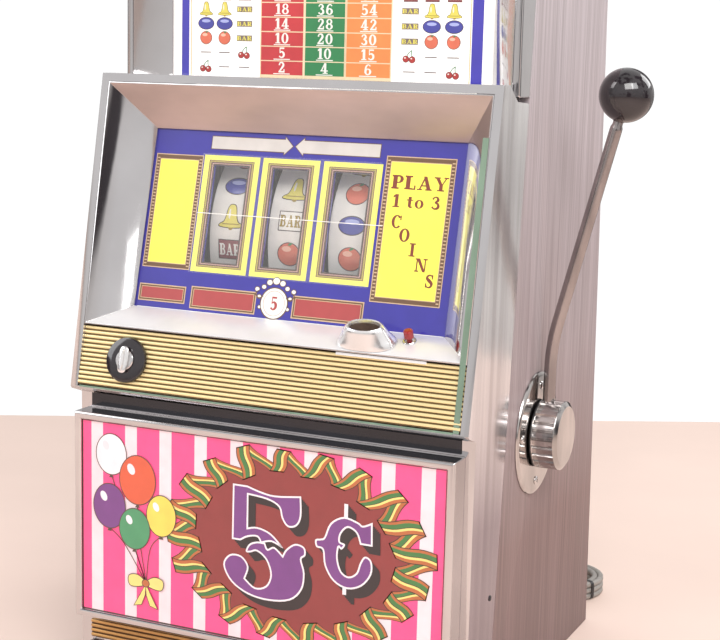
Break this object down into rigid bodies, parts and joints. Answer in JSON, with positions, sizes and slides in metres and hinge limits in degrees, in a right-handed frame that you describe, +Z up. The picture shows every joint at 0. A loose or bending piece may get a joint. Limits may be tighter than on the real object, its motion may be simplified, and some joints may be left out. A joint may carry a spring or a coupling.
{
  "type": "three-reel slot machine with a side pull handle",
  "caption": "Counter-top three-reel slot machine: laminated cabinet, chrome front door with splayed reel console, lit belly and award glasses, and a pull handle on its right side.",
  "frame": {"origin": "middle of the underside of the base board, on the floor, halfway between the belly frame's face and the back of the base", "axes": "+X to the right of a player who faces the machine, -Y out of its front, +Z up"},
  "size_m": [0.5232, 0.5606, 0.77],
  "materials": {
    "wood_laminate": "satin wood-grain laminate",
    "chrome": "mirror",
    "steel": "brushed or zinc plated",
    "gold_ribbed": "gold ribs over brown grooves",
    "reel_print": "back-printed, glossy",
    "belly_print": "back-printed, glossy",
    "award_print": "back-printed, glossy",
    "black_plastic": "glossy",
    "red_plastic": "glossy",
    "reel_white": "satin strip",
    "brass": "turned",
    "lamp_white": "opal",
    "grey_cord": "matt",
    "plywood": "bare",
    "transformer_green": "varnished"
  },
  "bodies": {
    "cabinet": {"cabinet_side_left": "wood_laminate", "cabinet_side_right": "wood_laminate", "cabinet_base": "plywood", "cabinet_top": "wood_laminate", "rear_rail": "plywood", "mechanism_shelf": "plywood", "front_hinge_leaf": "chrome", "front_hinge_pin": "steel", "handle_plate": "chrome", "handle_bush": "brass", "reel_frame_left": "steel", "reel_frame_right": "steel", "reel_shaft": "steel", "stop_shaft": "steel", "coin_tube": "brass", "coin_run": "steel", "payout_chute": "steel", "cash_box": "steel", "transformer": "transformer_green", "reel_lamp": "lamp_white", "reel_lamp_holder": "steel", "award_lamp": "lamp_white", "award_lamp_holder": "steel", "rear_hinge_leaf": "steel", "cord_gland": "black_plastic", "power_cord": "grey_cord", "cord_coil": "grey_cord", "mains_plug": "black_plastic", "award_frame": "chrome", "award_glass": "award_print"},
    "main_door": {"door_shell": "chrome", "console_bezel": "chrome", "reel_glass": "reel_print", "rib_panel": "gold_ribbed", "belly_frame": "chrome", "belly_glass": "belly_print", "lower_rib_strip": "gold_ribbed", "payout_cup": "chrome", "coin_entry": "chrome", "lock_plate": "black_plastic", "door_hinge_leaf": "chrome", "belly_lamp": "lamp_white", "belly_lamp_holder": "steel"},
    "key_switch": {"lock_barrel": "chrome"},
    "coin_button": {"coin_return_button": "red_plastic"},
    "handle": {"handle_hub": "chrome", "handle_rod": "steel", "handle_ball": "black_plastic", "handle_shaft": "steel"},
    "reel_left": {"reel_1": "reel_white"},
    "reel_middle": {"reel_2": "reel_white"},
    "reel_right": {"reel_3": "reel_white"},
    "stop_left": {"reel_stop_1": "brass"},
    "stop_middle": {"reel_stop_2": "brass"},
    "stop_right": {"reel_stop_3": "brass"},
    "slide": {"payout_slide": "steel"},
    "back_door": {"rear_door": "wood_laminate", "rear_door_leaf": "steel"},
    "back_lock": {"rear_lock": "chrome"}
  },
  "joints": [
    {"name": "main_door_hinge", "type": "hinge", "parent": "cabinet", "child": "main_door", "pos_m": [-0.2123, -0.1203, 0], "axis": [0, -0.085, -0.9964], "range_deg": [0, 100]},
    {"name": "key_turn", "type": "hinge", "parent": "main_door", "child": "key_switch", "pos_m": [-0.1475, -0.19071, 0.32815], "axis": [0, -0.9667, 0.2559], "range_deg": [0, 90]},
    {"name": "coin_return_press", "type": "slide", "parent": "main_door", "child": "coin_button", "axis": [0, 0.3967, -0.918], "range_m": [0, 0.004], "stiffness_N_per_m": 300, "springref_m": -0.0005},
    {"name": "handle_pull", "type": "hinge", "parent": "cabinet", "child": "handle", "pos_m": [0.2085, -0.01, 0.263], "axis": [1, 0, 0], "range_deg": [0, 75], "stiffness_Nm_per_rad": 1.2, "springref_deg": -28.65},
    {"name": "reel_left_spin", "type": "hinge", "parent": "cabinet", "child": "reel_left", "pos_m": [-0.0792, -0.01124, 0.44038], "axis": [1, 0, 0], "continuous": true},
    {"name": "reel_middle_spin", "type": "hinge", "parent": "cabinet", "child": "reel_middle", "pos_m": [-0.0142, -0.01124, 0.44038], "axis": [1, 0, 0], "continuous": true},
    {"name": "reel_right_spin", "type": "hinge", "parent": "cabinet", "child": "reel_right", "pos_m": [0.0508, -0.01124, 0.44038], "axis": [1, 0, 0], "continuous": true},
    {"name": "stop_left_swing", "type": "hinge", "parent": "cabinet", "child": "stop_left", "pos_m": [-0.0792, 0.11276, 0.36038], "axis": [-1, 0, 0], "range_deg": [0, 12], "stiffness_Nm_per_rad": 0.06, "springref_deg": -22.92},
    {"name": "stop_middle_swing", "type": "hinge", "parent": "cabinet", "child": "stop_middle", "pos_m": [-0.0142, 0.11276, 0.36038], "axis": [-1, 0, 0], "range_deg": [0, 12], "stiffness_Nm_per_rad": 0.06, "springref_deg": -22.92},
    {"name": "stop_right_swing", "type": "hinge", "parent": "cabinet", "child": "stop_right", "pos_m": [0.0508, 0.11276, 0.36038], "axis": [-1, 0, 0], "range_deg": [0, 12], "stiffness_Nm_per_rad": 0.06, "springref_deg": -22.92},
    {"name": "payout_push", "type": "slide", "parent": "cabinet", "child": "slide", "axis": [0, -1, 0], "range_m": [0, 0.012]},
    {"name": "rear_door_hinge", "type": "hinge", "parent": "cabinet", "child": "back_door", "pos_m": [-0.1995, 0.2088, 0.00019], "axis": [0, -0.0509, 0.9987], "range_deg": [0, 100]},
    {"name": "rear_lock_turn", "type": "hinge", "parent": "back_door", "child": "back_lock", "pos_m": [0.1605, 0.18361, 0.41945], "axis": [0, -0.9987, -0.0509], "range_deg": [0, 90]}
  ]
}
